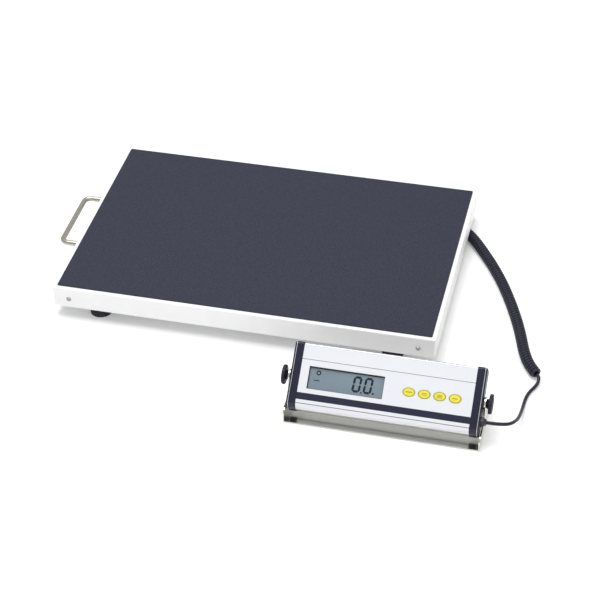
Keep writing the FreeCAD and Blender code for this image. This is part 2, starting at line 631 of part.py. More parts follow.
labelBlank = box("LabelBlank", "housingLength", "faceTop - edgeRadius + labelDown", "labelThickness",
                 onHead(-capX, -sizes.labelDown, sizes.faceOut))
node(cut("Label", labelBlank, [windowHole] + keyHoles), "face_label")
node(box("Lens", "windowLength", "windowWidth", "lensThickness",
         onHead(sizes.windowPlaceX - sizes.windowLength / 2, sizes.windowPlaceY - sizes.windowWidth / 2,
                sizes.faceOut - sizes.lensThickness)), "window_lens")
displayLength = "windowLength + 2 * displayBorder"
displayWidth = "windowWidth + 2 * displayBorder"
displayX = sizes.windowPlaceX - sizes.windowLength / 2 - sizes.displayBorder
displayY = sizes.windowPlaceY - sizes.windowWidth / 2 - sizes.displayBorder
bezelBlank = box("BezelBlank", displayLength, displayWidth, "bezelThickness",
                 onHead(displayX, displayY, innerFace - sizes.bezelThickness))
bezelHole = box("BezelHole", "windowLength", "windowWidth", "bezelThickness + 2",
                onHead(sizes.windowPlaceX - sizes.windowLength / 2, sizes.windowPlaceY - sizes.windowWidth / 2,
                       innerFace - sizes.bezelThickness - 1))
node(cut("Bezel", bezelBlank, [bezelHole]), "display_bezel")
node(box("Display", displayLength, displayWidth, "displayThickness",
         onHead(displayX, displayY, innerFace - sizes.bezelThickness - sizes.displayThickness)), "display_glass")

switchTop = innerFace - 0.2 - sizes.keyLip - sizes.keyTravel - 0.2
switches = []
for i, x in enumerate(keyPlaces):
    rimTop = innerFace - 0.2
    capBlock = oval(f"KeyTop{i}", 0, rimTop, labelOut + sizes.keyProud, x)
    rim = oval(f"KeyRim{i}", sizes.keyLip, rimTop - sizes.keyLip, rimTop, x)
    node(fuse(f"Key{i}", [capBlock, rim]), f"key_{i + 1}")
    switches.append(box(f"Switch{i}", 6, 6, switchTop - sizes.boardOut,
                        onHead(x - 3, sizes.keyPlaceY - 3, sizes.boardOut)))
node(group("SwitchSet", switches), "key_switches")

node(box("MainBoard", "boardLength", "boardWidth", "boardThickness",
         onHead(-sizes.boardLength / 2, -sizes.boardWidth / 2, boardBack)), "main_board")
standoffs = []
for i, (x, up) in enumerate([(sx * (sizes.boardLength / 2 - 5), sy * (sizes.boardWidth / 2 - 5))
                             for sy in (-1, 1) for sx in (-1, 1)]):
    standoffs.append(cylinder(f"Standoff{i}", "standoffRadius", boardBack - innerBack, onHead(x, up, innerBack)))
node(group("StandoffSet", standoffs), "board_standoffs")

trayX = -100
trayFloor = 1
trayWidth = 8 * sizes.cellBatteryRadius + 4
trayBlank = box("TrayBlank", "cellBatteryLength + 6", trayWidth, 9,
                onHead(trayX, -trayWidth / 2, innerBack))
trayHollow = box("TrayHollow", "cellBatteryLength + 2", trayWidth - 3, 9,
                 onHead(trayX + 2, -trayWidth / 2 + 1.5, innerBack + trayFloor))
node(cut("Tray", trayBlank, [trayHollow]), "battery_tray")
batteries = []
for i in range(4):
    up = (i - 1.5) * 2 * sizes.cellBatteryRadius
    batteries.append(cylinder(f"Battery{i}", "cellBatteryRadius - 0.05", "cellBatteryLength",
                              onHead(trayX + 3, up, innerBack + trayFloor + sizes.cellBatteryRadius, towardRight)))
node(group("BatterySet", batteries), "battery_cells")

capScrews, inserts, washers = [], [], []
for side, sx in (("left", -1), ("right", 1)):
    turn = towardRight if sx > 0 else towardLeft
    band = newBody(f"CapBand{side}", headPlace)
    pad(band, sketch(band, f"BandOutline{side}", "YZ_Plane", profile(sizes.capProud), min(sx * capX, sx * bandX)),
        "capBand")
    step = newBody(f"CapStep{side}", headPlace)
    pad(step, sketch(step, f"StepOutline{side}", "YZ_Plane", profile(sizes.capProud - sizes.capSink, 3.0),
                     min(sx * bandX, sx * stepX)), "capStep")
    hollow = newBody(f"CapHollow{side}", headPlace)
    pad(hollow, sketch(hollow, f"HollowOutline{side}", "YZ_Plane", profile(-sizes.capWall),
                       min(sx * capX, sx * (stepX - sizes.capFloor))), "capBand + capStep - capFloor")
    pivotBore = cylinder(f"CapBore{side}", "insertRadius", "capFloor + 2",
                         onHead(sx * (stepX - sizes.capFloor - 1), 0, 0, turn))
    sinks = []
    for i, (up, out) in enumerate(bossPlaces):
        sinks.append(cylinder(f"CapSink{side}{i}", 3.4, 3, onHead(sx * (stepX - 2.5), up, out, turn)))
        head = cylinder(f"CapScrewHead{side}{i}", 3.2, 2, onHead(sx * (stepX - 2.5), up, out, turn))
        shank = cylinder(f"CapScrewShank{side}{i}", "capScrewRadius", 24, onHead(sx * (stepX - 26.5), up, out, turn))
        capScrews.append(fuse(f"CapScrew{side}{i}", [head, shank]))
    bores = [cylinder(f"CapScrewBore{side}{i}", "capScrewRadius + fastenerGap", "capBand + capStep + 2",
                      onHead(sx * (capX - 1), up, out, turn)) for i, (up, out) in enumerate(bossPlaces)]
    whole = fuse(f"CapWhole{side}", [band, step])
    node(cut(f"Cap{side}", whole, [hollow, pivotBore] + sinks + bores), f"end_cap_{side}")
    insertPlace = onHead(sx * (stepX - sizes.capFloor), 0, 0, turn)
    insert = cylinder(f"InsertBlank{side}", "insertRadius", "capFloor", insertPlace)
    insertBore = cylinder(f"InsertBore{side}", "studKnobRadius + fastenerGap", "capFloor", insertPlace)
    inserts.append(cut(f"Insert{side}", insert, [insertBore]))
    washerPlace = onHead(sx * (stepX + 0.05), 0, 0, turn)
    washer = cylinder(f"WasherBlank{side}", 8.5, "earGap - 0.1", washerPlace)
    washerBore = cylinder(f"WasherBore{side}", "studKnobRadius + 0.3", "earGap", washerPlace)
    washers.append(cut(f"Washer{side}", washer, [washerBore]))
    disc = [cylinder(f"KnobDisc{side}", "knobRadius - 2.6", "knobThickness",
                     onHead(sx * (earOuter + sizes.knobHub), 0, 0, turn)),
            cone(f"KnobHub{side}", "knobRadius * 0.42", "knobRadius * 0.55", "knobHub",
                 onHead(sx * (earOuter + 0.1), 0, 0, turn))]
    lobeCount = 6
    for i in range(lobeCount):
        angle = 2 * math.pi * (i + 0.5) / lobeCount
        reach = sizes.knobRadius - 3.6
        disc.append(cylinder(f"KnobLobe{side}{i}", 3.6, "knobThickness",
                             onHead(sx * (earOuter + sizes.knobHub), reach * math.sin(angle),
                                    reach * math.cos(angle), turn)))
    studStart = stepX - sizes.capFloor + 0.5
    studLength = earOuter + sizes.knobHub + 2 - studStart
    stud = cylinder(f"KnobStud{side}", "studKnobRadius", studLength, onHead(sx * studStart, 0, 0, turn))
    node(stud, f"knob_stud_{side}")
    node(cut(f"Knob{side}", fuse(f"KnobWhole{side}", disc), [stud]), f"knob_{side}")
node(group("CapScrewSet", capScrews), "cap_screws")
node(group("InsertSet", inserts), "pivot_inserts")
node(group("WasherSet", washers), "friction_washers")
node(gland("IndicatorGland", onHead(stepX, sizes.glandPlaceY, sizes.glandPlaceZ, towardRight)), "indicator_gland")

# ---- bracket ----


def earOutline():
    """One ear from the side, behind and above the point on the floor under the tilt axis."""
    front, back, flank = -sizes.earFront, sizes.earBack, sizes.earFlank
    bend, arm, soft, level = sizes.earCorner, sizes.earArm, sizes.earFillet, sizes.pivotHeight
    return [
        line((back, 0), (front, 0)),
        line((front, 0), (front, flank - bend)),
        roundCorner((front + bend, flank - bend), bend, 180, 90),
        line((front + bend, flank), (-arm - soft, flank)),
        roundCorner((-arm - soft, flank + soft), soft, -90, 0),
        line((-arm, flank + soft), (-arm, level)),
        roundCorner((0, level), arm, 180, 0),
        line((arm, level), (arm, flank + soft)),
        roundCorner((arm + soft, flank + soft), soft, 180, 270),
        line((arm + soft, flank), (back - bend, flank)),
        roundCorner((back - bend, flank - bend), bend, 90, 0),
        line((back, flank - bend), (back, 0)),
    ]


bracketPlace = at(sizes.indicatorPlaceX, sizes.pivotPlaceY, 0)
bracket = newBody("BracketSheet", bracketPlace)
plateOutline = [
    line((-earOuter, -sizes.earFront), (earOuter, -sizes.earFront)),
    line((earOuter, -sizes.earFront), (earOuter, sizes.earBack)),
    line((earOuter, sizes.earBack), (-earOuter, sizes.earBack)),
    line((-earOuter, sizes.earBack), (-earOuter, -sizes.earFront)),
]
pad(bracket, sketch(bracket, "BracketPlate", "XY_Plane", plateOutline), "bracketWall")
pad(bracket, sketch(bracket, "LeftEar", "YZ_Plane", earOutline(), -earOuter), "bracketWall")
pad(bracket, sketch(bracket, "RightEar", "YZ_Plane", earOutline(), earX), "bracketWall")
filletWhere(bracket, "BracketBend", "bracketWall * 0.9",
            lambda edge: abs(edge.CenterOfMass.z) < 0.01 and abs(abs(edge.CenterOfMass.x) - earOuter) < 0.01)
bracketHoles = [cylinder("EarHoles", "studKnobRadius + 0.3", 2 * earOuter + 2,
                         at(sizes.indicatorPlaceX - earOuter - 1, sizes.pivotPlaceY, sizes.pivotHeight, towardRight))]
for i, (sx, sy) in enumerate([(sx, sy) for sy in (-1, 1) for sx in (-1, 1)]):
    bracketHoles.append(cylinder(f"WallHole{i}", "wallHoleRadius", "bracketWall + 2",
                                 at(sizes.indicatorPlaceX + sx * sizes.wallHoleX / 2,
                                    sizes.pivotPlaceY + sizes.wallHolePlace + sy * sizes.wallHoleY / 2, -1)))
node(cut("Bracket", bracket, bracketHoles), "bracket")

# ---- cord ----

coilLevel = sizes.coilRadius
lying = sizes.cordRadius + sizes.floorGap
coilStart = Vector(277, 150.5, 15.5)
coilEnd = Vector(451.5, -189.5, coilLevel)
coilRoute = [coilStart, Vector(288, 146, 10.2)]
for x, y in ((299, 136.5), (312, 120), (327, 97), (348, 62), (369, 22), (387, -20), (403, -62), (416, -103),
             (425, -138), (435.5, -166.5)):
    coilRoute.append(Vector(x, y, coilLevel))
coilRoute.append(coilEnd)
backAlong = (coilRoute[0] - coilRoute[1]).normalize()
onAlong = (coilRoute[-1] - coilRoute[-2]).normalize()
innerMouth = Vector(junctionX + sizes.junctionLength + sizes.glandLength, exitY, exitZ)
innerRoute = [innerMouth, innerMouth + Vector(8, 0, 0), Vector(257, 154, 37.5), Vector(263.5, 153.9, 29.5),
              coilStart + backAlong * 9, coilStart]
mouth = onHead(stepX + sizes.glandLength, sizes.glandPlaceY, sizes.glandPlaceZ).Base - spot(0, 0, 0)
outerRoute = [mouth, mouth + Vector(13, 0, 0), Vector(430, -336.5, 34)]
for x, y, z in ((438.5, -315.5, 25), (440.5, -291, 15), (441, -270, 7.5), (441.5, -253, 3.6), (442.5, -238, lying),
                (446, -224, lying), (451.5, -213.5, 3.1), (455.8, -204.5, 5.6)):
    outerRoute.append(Vector(x, y, z))
outerRoute += [coilEnd + onAlong * 8, coilEnd]


def inRow(points):
    return [spot(*point) for point in points]


node(bentTube("Coil", inRow(coilRoute), sizes.coilRadius), "cord_coil")
node(bentTube("InnerTail", inRow(innerRoute), sizes.cordRadius), "cord_platform_end")
node(bentTube("OuterTail", inRow(outerRoute), sizes.cordRadius), "cord_indicator_end")

# ---- checks and output ----

doc.recompute()
for piece in doc.Objects:
    if "Invalid" in piece.State or "Error" in piece.State:
        raise ValueError(f"{piece.Name} failed: {piece.State}")
shellVolume = sizes.deckLength * sizes.deckWidth * sizes.skirtHeight
if cover.Shape.Volume > 0.2 * shellVolume:
    raise ValueError("the cover's pocket didn't cut")
for piece in nodes:
    if piece.Shape.isNull() or not piece.Shape.isValid():
        raise ValueError(f"{piece.Label} has no valid shape")
for piece in nodes:
    piece.Shape.exportStep(f"parts/{piece.Label}.step")
print(f"{len(nodes)} nodes, middle of the scale {middleX:.2f}, {middleY:.2f} from the platform's middle")
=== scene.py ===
import json
import math

import bmesh
import bpy
import numpy as np
from mathutils import Matrix


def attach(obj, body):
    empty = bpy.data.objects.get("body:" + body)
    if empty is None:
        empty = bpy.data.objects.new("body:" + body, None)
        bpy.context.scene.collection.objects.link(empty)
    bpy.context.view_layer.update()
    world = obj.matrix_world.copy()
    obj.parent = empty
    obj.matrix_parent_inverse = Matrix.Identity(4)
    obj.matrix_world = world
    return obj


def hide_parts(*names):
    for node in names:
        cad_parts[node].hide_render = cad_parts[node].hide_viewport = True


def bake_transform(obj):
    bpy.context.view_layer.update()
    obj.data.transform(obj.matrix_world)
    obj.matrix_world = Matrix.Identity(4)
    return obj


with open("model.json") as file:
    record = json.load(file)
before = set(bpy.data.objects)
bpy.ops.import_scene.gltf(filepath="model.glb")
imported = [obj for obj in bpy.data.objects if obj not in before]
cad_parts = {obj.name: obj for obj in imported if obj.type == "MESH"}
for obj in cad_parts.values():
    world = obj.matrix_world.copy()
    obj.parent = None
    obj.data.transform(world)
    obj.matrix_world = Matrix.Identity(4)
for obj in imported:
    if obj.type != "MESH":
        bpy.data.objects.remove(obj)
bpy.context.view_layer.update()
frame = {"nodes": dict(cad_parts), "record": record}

# An animal weighing scale: platform, curly cord and tilting indicator. Sizes are in millimetres unless a line says
# otherwise, laid out from the middle of the platform, with the floor at 0.
mm = 0.001
layoutShift = np.array([-32.85, 81.6, 0.0])  # from the platform's middle to the scale's origin
nodes = frame["nodes"]


def row(points):
    # Layout millimetres to the frame's metres.
    return (np.asarray(points, float) + layoutShift) * mm


def unit(vectors):
    # Each vector divided by its own length.
    vectors = np.asarray(vectors, float)
    return vectors / np.linalg.norm(vectors, axis=-1, keepdims=True)


def smoothStep(values):
    # 3t^2 - 2t^3 between 0 and 1.
    values = np.clip(values, 0, 1)
    return values * values * (3 - 2 * values)


# The camera

cameraLook = {
    "azimuth": 13.64,  # degrees
    "elevation": 38.21,
    "roll": -0.71,
    "place": (0.56847, -2.22314, 1.80487),  # metres
    "lens": 111.9,
}


def makeCamera(look):
    # The camera's axes: back along the view, right level with the floor, both turned by the roll.
    azimuth, elevation, roll = np.radians([look["azimuth"], look["elevation"], look["roll"]])
    back = np.array([np.sin(azimuth) * np.cos(elevation), -np.cos(azimuth) * np.cos(elevation), np.sin(elevation)])
    right = np.array([np.cos(azimuth), np.sin(azimuth), 0])
    up = np.cross(right, -back)
    turned = np.column_stack([right * np.cos(roll) + up * np.sin(roll), up * np.cos(roll) - right * np.sin(roll), back])
    camera = bpy.data.objects.new("camera", bpy.data.cameras.new("camera"))
    matrix = np.eye(4)
    matrix[:3, :3] = turned
    matrix[:3, 3] = look["place"]
    camera.matrix_world = Matrix(matrix.tolist())
    camera.data.lens = look["lens"]
    camera.data.sensor_width = 36
    camera.data.clip_end = 50
    bpy.context.scene.collection.objects.link(camera)
    bpy.context.scene.camera = camera


makeCamera(cameraLook)
print("camera ready")


# Materials


def connect(tree, source, output, target, entry):
    tree.links.new(source.outputs[output], target.inputs[entry])


def addNode(tree, kind, **settings):
    node = tree.nodes.new(kind)
    for name, value in settings.items():
        setattr(node, name, value)
    return node


def noiseNode(tree, place, scale, detail, stretch=(1, 1, 1)):
    # Noise on object coordinates, in cells per metre, stretched by its own mapping.
    mapping = addNode(tree, "ShaderNodeMapping")
    mapping.inputs["Scale"].default_value = stretch
    noise = addNode(tree, "ShaderNodeTexNoise")
    noise.inputs["Scale"].default_value = scale
    noise.inputs["Detail"].default_value = detail
    connect(tree, place, "Object", mapping, "Vector")
    connect(tree, mapping, "Vector", noise, "Vector")
    return noise


def surface(name, tone, rough, metal=0.0, mottle=0.06, mottleScale=40, grain=900, grainDepth=0.02, stretch=(1, 1, 1),
            roughSpread=0.08, coat=0.0, specular=0.5, detail=3.0, alpha=1.0):
    # tone mottled by slow noise, roughness spread by the same grain that gives the bump.
    material = bpy.data.materials.new(name)
    material.use_nodes = True
    tree = material.node_tree
    shader = tree.nodes["Principled BSDF"]
    place = addNode(tree, "ShaderNodeTexCoord")
    slow = noiseNode(tree, place, mottleScale, 4.0, stretch)
    fine = noiseNode(tree, place, grain, detail, stretch)
    ramp = addNode(tree, "ShaderNodeValToRGB")
    ramp.color_ramp.elements[0].position = 0.3
    ramp.color_ramp.elements[1].position = 0.7
    ramp.color_ramp.elements[0].color = (*[value * (1 - mottle) for value in tone], 1)
    ramp.color_ramp.elements[1].color = (*[min(1, value * (1 + mottle)) for value in tone], 1)
    connect(tree, slow, "Fac", ramp, "Fac")
    connect(tree, ramp, "Color", shader, "Base Color")
    spread = addNode(tree, "ShaderNodeMapRange")
    spread.inputs["To Min"].default_value = max(0.02, rough - roughSpread)
    spread.inputs["To Max"].default_value = min(1, rough + roughSpread)
    connect(tree, fine, "Fac", spread, "Value")
    connect(tree, spread, "Result", shader, "Roughness")
    bump = addNode(tree, "ShaderNodeBump")
    bump.inputs["Strength"].default_value = 1.0
    bump.inputs["Distance"].default_value = grainDepth * mm
    connect(tree, fine, "Fac", bump, "Height")
    connect(tree, bump, "Normal", shader, "Normal")
    shader.inputs["Metallic"].default_value = metal
    shader.inputs["Coat Weight"].default_value = coat
    shader.inputs["Specular IOR Level"].default_value = specular
    shader.inputs["Alpha"].default_value = alpha
    return material


finishes = {
    "white_coat": surface("whitePowderCoat", (0.80, 0.80, 0.805), 0.42, mottle=0.015, grain=700, grainDepth=0.03),
    "mat_rubber": surface("pebbledRubber", (0.030, 0.032, 0.050), 0.75, mottle=0.3, mottleScale=650, grain=1500,
                          grainDepth=0.16, roughSpread=0.12, detail=4.0, specular=0.2),
    "screw_steel": surface("screwSteel", (0.40, 0.39, 0.38), 0.34, metal=1.0, mottle=0.1, mottleScale=300),
    "grey_coat": surface("frameCoat", (0.62, 0.63, 0.64), 0.5, mottle=0.04, grain=500, grainDepth=0.05),
    "plain_steel": surface("zincPlate", (0.52, 0.53, 0.54), 0.36, metal=1.0, mottle=0.12, mottleScale=120,
                           grain=600, grainDepth=0.02),
    "handle_steel": surface("drawnStainless", (0.43, 0.42, 0.36), 0.26, metal=1.0, mottle=0.05, grain=700,
                            grainDepth=0.012, stretch=(3, 0.08, 3)),
    "junction_plastic": surface("junctionGrey", (0.26, 0.27, 0.28), 0.5, mottle=0.05, grain=900),
    "circuit_board": surface("solderMask", (0.02, 0.16, 0.07), 0.35, mottle=0.2, mottleScale=200),
    "gland_plastic": surface("glandBlack", (0.018, 0.018, 0.024), 0.42, mottle=0.1, grain=1200, grainDepth=0.02),
    "lead_jacket": surface("leadJacket", (0.10, 0.10, 0.11), 0.5, mottle=0.1, grain=900),
    "cord_jacket": surface("cordJacket", (0.012, 0.012, 0.024), 0.4, mottle=0.2, mottleScale=150, grain=1500,
                           grainDepth=0.02, roughSpread=0.1, specular=0.3),
    "bracket_steel": surface("brushedStainless", (0.60, 0.60, 0.56), 0.2, metal=1.0, mottle=0.06, mottleScale=60,
                             grain=800, grainDepth=0.012, stretch=(0.03, 2, 2), roughSpread=0.08),
    "washer_rubber": surface("washerRubber", (0.02, 0.02, 0.02), 0.7),
    "case_aluminium": surface("satinAluminium", (0.66, 0.66, 0.69), 0.42, metal=0.8, mottle=0.015, grain=900,
                              grainDepth=0.01, stretch=(0.05, 2, 2)),
    "cap_plastic": surface("capNavy", (0.010, 0.011, 0.028), 0.36, mottle=0.12, mottleScale=200, grain=1500,
                           grainDepth=0.03, roughSpread=0.1, specular=0.3),
    "label_film": surface("labelFilm", (0.655, 0.67, 0.70), 0.45, mottle=0.01, grain=1500, grainDepth=0.01),
    "clear_window": surface("clearWindow", (0.1, 0.12, 0.13), 0.1, mottle=0.01, grain=100, grainDepth=0.002,
                            roughSpread=0.03, specular=0.3, alpha=0.05),
    # The bezel's black also colours the strips of painted shade round the display window.
    "bezel_plastic": surface("bezelBlackAndRecessShade", (0.012, 0.013, 0.016), 0.5, grain=1200),
    "display_panel": surface("displayGrey", (0.19, 0.25, 0.295), 0.4, mottle=0.07, mottleScale=18, grain=2500,
                             grainDepth=0.004),
    "switch_plastic": surface("switchBlack", (0.03, 0.03, 0.03), 0.5),
    "standoff_plastic": surface("standoffNylon", (0.7, 0.7, 0.66), 0.5),
    "battery_sleeve": surface("batterySleeve", (0.05, 0.16, 0.08), 0.3, coat=0.3),
    "insert_brass": surface("turnedBrass", (0.6, 0.46, 0.2), 0.3, metal=1.0, mottle=0.1, mottleScale=200),
    "cell_aluminium": surface("anodised", (0.62, 0.63, 0.65), 0.4, metal=1.0, mottle=0.06, mottleScale=80, grain=900,
                              grainDepth=0.01, stretch=(0.1, 2, 2)),
    "foot_rubber": surface("footRubber", (0.022, 0.022, 0.027), 0.7, mottle=0.15, mottleScale=160, grain=900,
                           grainDepth=0.08),
    "key_film": surface("keyYellow", (0.70, 0.62, 0.03), 0.45, mottle=0.05, mottleScale=200, grain=1500,
                        grainDepth=0.01),
    "knob_plastic": surface("knobBlack", (0.009, 0.009, 0.015), 0.45, mottle=0.15, mottleScale=200, grain=1200,
                            grainDepth=0.04, specular=0.3),
}
prints = {
    "navy": surface("navyPrint", (0.012, 0.013, 0.034), 0.42, mottle=0.08, mottleScale=120, grain=1500,
                    grainDepth=0.008, specular=0.3),
    "greyLine": surface("greyPrint", (0.12, 0.12, 0.13), 0.5, mottle=0.1),
    "groove": surface("grooveShade", (0.10, 0.10, 0.13), 0.6, mottle=0.1),
    # Dark print for the strips of painted shade: in the groove under the label and along two lines at the top edge.
    "segment": surface("segmentInk", (0.004, 0.012, 0.024), 0.5, mottle=0.2, mottleScale=300, specular=0.2),
    "olive": surface("olivePrint", (0.30, 0.27, 0.035), 0.45, mottle=0.1, mottleScale=300),
}
for part in frame["record"]["subparts"]:
    for entry in nodes[part["node"]].material_slots:
        entry.link = "OBJECT"
        entry.material = finishes[part["material_slot"]]
print("materials ready:", len(finishes) + len(prints))


# Meshes


def finishMesh(name, vertices, faces, material, body, smoothAngle=32.0):
    # Puts the arrays into a mesh, merges doubles, turns the faces outwards and lets it ride.
    mesh = bpy.data.meshes.new(name)
    mesh.from_pydata(np.asarray(vertices, float).tolist(), [], [list(map(int, face)) for face in faces])
    work = bmesh.new()
    work.from_mesh(mesh)
    bmesh.ops.remove_doubles(work, verts=work.verts, dist=1e-6)
    bmesh.ops.recalc_face_normals(work, faces=work.faces)
    work.to_mesh(mesh)
    work.free()
    mesh.materials.append(material)
    mesh.shade_smooth()
    mesh.set_sharp_from_angle(angle=math.radians(smoothAngle))
    piece = bpy.data.objects.new(name, mesh)
    bpy.context.scene.collection.objects.link(piece)
    if body:
        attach(piece, body)
    return piece


def gridFaces(rings, around):
    # Quads between each ring and the next, with the last column joined to the first.
    ring, side = np.meshgrid(np.arange(rings - 1), np.arange(around), indexing="ij")
    nextSide = (side + 1) % around
    quads = np.stack([ring * around + side, ring * around + nextSide,
                      (ring + 1) * around + nextSide, (ring + 1) * around + side], axis=-1)
    return quads.reshape(-1, 4)


def stack(outline, normals, levels, place):
    # A solid of stacked rings: each level is (height, growth, scale), and its ring is the outline times the scale
    # plus the growth along the outline's normals. Both ends are closed. place turns (u, v, height) into metres.
    heights, growths, scales = np.array(levels, float).T
    flat = outline[None] * scales[:, None, None] + normals[None] * growths[:, None, None]
    rings = np.concatenate([flat, np.broadcast_to(heights[:, None, None], flat.shape[:2] + (1,))], axis=2)
    around = len(outline)
    vertices = place(rings.reshape(-1, 3))
    faces = gridFaces(len(levels), around).tolist()
    faces.append(list(range(around)))
    faces.append(list(range(around * (len(levels) - 1), around * len(levels))))
    return vertices, faces


def hoop(loops, place):
    # A closed ring with an outline at each (outline, height), and the last joined back to the first.
    vertices = np.concatenate([np.column_stack([outline, np.full(len(outline), height)]) for outline, height in loops])
    around = len(loops[0][0])
    side = np.arange(around)
    last = (len(loops) - 1) * around
    closing = np.stack([side + last, (side + 1) % around + last, (side + 1) % around, side], axis=1)
    return place(vertices), np.concatenate([gridFaces(len(loops), around), closing]).tolist()


def joined(parts):
    # Several (vertices, faces) put in one list, with each part's faces counted on from the last.
    vertices, faces, start = [], [], 0
    for partVertices, partFaces in parts:
        vertices.append(partVertices)
        faces += [[corner + start for corner in face] for face in partFaces]
        start += len(partVertices)
    return np.concatenate(vertices), faces


def ellipseOutline(length, width, count=48):
    # x = a cos t, y = b sin t; the normal is (b cos t, a sin t) over its length.
    turn = np.linspace(0, 2 * np.pi, count, endpoint=False)
    a, b = length / 2, width / 2
    points = np.stack([a * np.cos(turn), b * np.sin(turn)], axis=1)
    return points, unit(np.stack([b * np.cos(turn), a * np.sin(turn)], axis=1))


def cornerOutline(corners):
    # Arcs about each (centre, radius, first angle, last angle, number of points), joined by straight lines, with a
    # holding point just past each arc's end.
    points, normals, hold = [], [], 0.25
    for (u, v), radius, first, last, count in corners:
        turn = np.radians(np.linspace(first, last, count))
        normal = np.stack([np.cos(turn), np.sin(turn)], axis=1)
        arc = np.array([u, v]) + radius * normal
        way = np.array([[-np.sin(turn[0]), np.cos(turn[0])], [-np.sin(turn[-1]), np.cos(turn[-1])]])
        points += [arc[:1] - way[:1] * hold, arc, arc[-1:] + way[1:] * hold]
        normals += [normal[:1], normal, normal[-1:]]
    return np.concatenate(points), np.concatenate(normals)


def rectangleOutline(length, width, radius, count=6):
    # Four quarter circles, one in each corner.
    u, v = length / 2 - radius, width / 2 - radius
    return cornerOutline([((u, -v), radius, -90, 0, count), ((u, v), radius, 0, 90, count),
                          ((-u, v), radius, 90, 180, count), ((-u, -v), radius, 180, 270, count)])


# The curly cord

cordLook = {
    "diameter": 5.2,
    "coilOutside": 17.8,
    "pitch": 5.5,
    "length": 3.0,  # metres, unrolled
    "sides": 10,
    "pointsPerTurn": 36,
    "spacing": 1.6,  # between the rings of the cord's own surface
    "lying": 2.8,  # the middle of a cord that lies on the floor
    "mouth": (240.5, 154, 41.5),  # where it leaves the junction box
    "gland": (148.9, -27.5, 3.0),  # its tip: along, up the face, out of the face
    "bendStart": (441, -262, 6),  # a point on the tail near the indicator
    "coilStart": (277, 150.5, 15.5),
    "coilEnd": (451.5, -189.5, 8.9),
    "endShare": 0.9,  # of a pitch, over which the turns grow
}
headLook = {"middleX": 249.3, "pivotY": -319.4, "pivotZ": 52.0, "tilt": 41.0}


def onHead(points):
    # (along, up the face, out of the face) from the tilt axis, in millimetres, to the frame's metres.
    along, up, out = np.asarray(points, float).T
    tilt = math.radians(headLook["tilt"])
    return row(np.stack([headLook["middleX"] + along,
                         headLook["pivotY"] + up * math.cos(tilt) - out * math.sin(tilt),
                         headLook["pivotZ"] + up * math.sin(tilt) + out * math.cos(tilt)], axis=1))


coilStart, coilEnd = np.array(cordLook["coilStart"], float), np.array(cordLook["coilEnd"], float)
lying, coilLying = cordLook["lying"], coilEnd[2]
coilPoints = [coilStart, (288, 146, 10.2)] + [
    (x, y, coilLying) for x, y in ((299, 136.5), (312, 120), (327, 97), (348, 62), (369, 22), (387, -20), (403, -62),
                                   (416, -103), (425, -138), (435.5, -166.5))] + [coilEnd]
coilPoints = [np.array(point, float) for point in coilPoints]
mouthInner = np.array(cordLook["mouth"])
mouthOuter = onHead([cordLook["gland"]])[0] / mm - layoutShift
innerPoints = [mouthInner, mouthInner + (8, 0, 0), (257, 154, 37.5), (263.5, 153.9, 29.5),
               coilStart + unit(coilPoints[0] - coilPoints[1]) * 9]
outerPoints = [coilEnd + unit(coilPoints[-1] - coilPoints[-2]) * 8, (455.8, -204.5, 5.6), (451.5, -213.5, 3.1),
               (446, -224, lying), (442.5, -238, lying), (441.5, -253, 3.6), (441, -270, 7.5), (440.5, -291, 15),
               (438.5, -315.5, 25), (430, -336.5, 34), mouthOuter + (13, 0, 0), mouthOuter]


def routePoints(points):
    # The smooth NURBS line through the route's control points, as Blender evaluates it, evenly respaced.
    curve = bpy.data.curves.new("cordRoute", "CURVE")
    curve.dimensions = "3D"
    curve.resolution_u = 24
    spline = curve.splines.new("NURBS")
    spline.points.add(len(points) - 1)
    spline.points.foreach_set("co", np.column_stack([points, np.ones(len(points))]).ravel())
    spline.order_u = 3
    spline.use_endpoint_u = True
    holder = bpy.data.objects.new("cordRoute", curve)
    mesh = bpy.data.meshes.new_from_object(holder)
    line = np.zeros(len(mesh.vertices) * 3)
    mesh.vertices.foreach_get("co", line)
    line = line.reshape(-1, 3)
    bpy.data.objects.remove(holder)
    bpy.data.meshes.remove(mesh)
    return line


def alongLine(line, spacing, *carried):
    # The same line with its points the given length apart, the values that go with it, and each point's length along.
    steps = np.r_[0, np.cumsum(np.linalg.norm(np.diff(line, axis=0), axis=1))]
    places = np.linspace(0, steps[-1], int(steps[-1] / spacing) + 1)
    spaced = [np.stack([np.interp(places, steps, values[:, k]) for k in range(3)], axis=1)
              for values in (line, *carried)]
    return *spaced, places


def curlyLine(look):
    # Round the route's own line, the cord turns at the coil's mean radius: offset = R (cos p U + sin p V), where p
    # grows by a whole turn each pitch, U and V are square to the line, and R falls to nothing past the coil's ends.
    line = routePoints(row(innerPoints + coilPoints + outerPoints))
    line, places = alongLine(line, look["pitch"] * mm / look["pointsPerTurn"])
    first = places[np.argmin(np.linalg.norm(line - row(coilStart), axis=1))]
    last = places[np.argmin(np.linalg.norm(line - row(coilEnd), axis=1))]
    tangent = unit(np.gradient(line, axis=0))
    side = unit(np.cross([0, 0, 1], tangent))
    up = np.cross(tangent, side)
    radius = (look["coilOutside"] - look["diameter"]) / 2 * mm
    ramp = look["pitch"] * mm * look["endShare"]
    growth = smoothStep((places - first) / ramp + 0.3) * smoothStep((last - places) / ramp + 0.3)
    turns = np.clip(places, first, last) - first
    phase = turns / (look["pitch"] * mm) * 2 * np.pi
    radial = side * np.cos(phase)[:, None] + up * np.sin(phase)[:, None]
    centre = line + radial * (growth * radius)[:, None]
    return centre, radial


